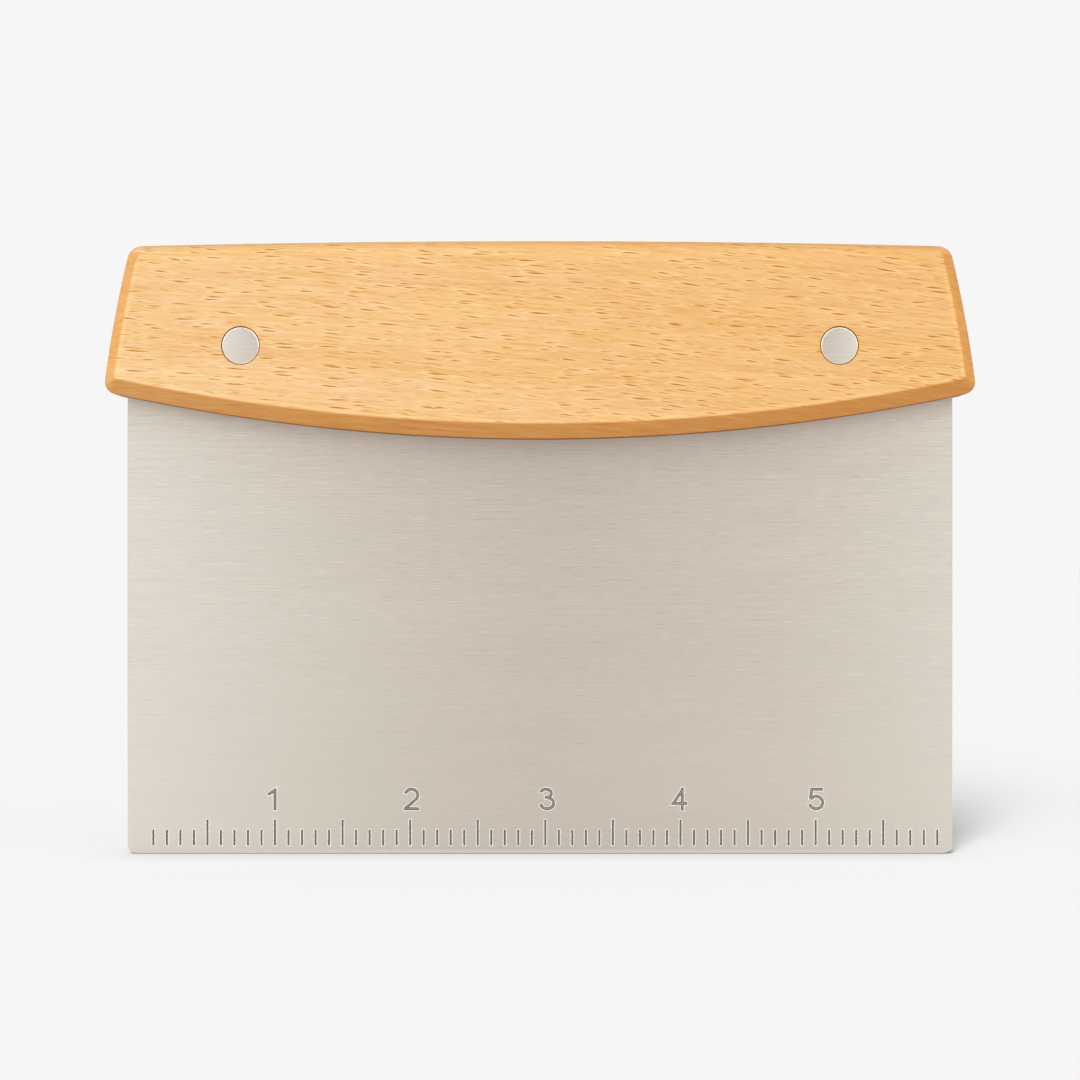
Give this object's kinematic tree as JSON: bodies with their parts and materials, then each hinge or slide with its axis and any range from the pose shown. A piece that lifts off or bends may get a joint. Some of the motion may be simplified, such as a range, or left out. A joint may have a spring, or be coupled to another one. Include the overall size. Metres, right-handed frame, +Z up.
{
  "type": "bench scraper",
  "caption": "Flat steel blade with an engraved inch ruler, held in the kerf of a curved beech handle by flush rivets; for cutting and lifting dough.",
  "frame": {"origin": "middle of the scraping edge, at the bottom centre of the whole scraper's box", "axes": "+X along the blade, to the right as the ruler is read; +Z up from the scraping edge to the handle; +Y from the ruler side to the back"},
  "size_m": [0.1618, 0.018, 0.1147],
  "materials": {
    "blade_steel": "stainless sheet, brushed along its length, warm pale grey",
    "beech": "steamed beech, grain along the handle, sanded and thinly oiled",
    "rivet_steel": "stainless, flat heads brushed in place"
  },
  "bodies": {
    "root": {"blade": "blade_steel", "handle": "beech", "left_rivet_front": "rivet_steel", "left_rivet_rear": "rivet_steel", "right_rivet_front": "rivet_steel", "right_rivet_rear": "rivet_steel"}
  },
  "joints": []
}
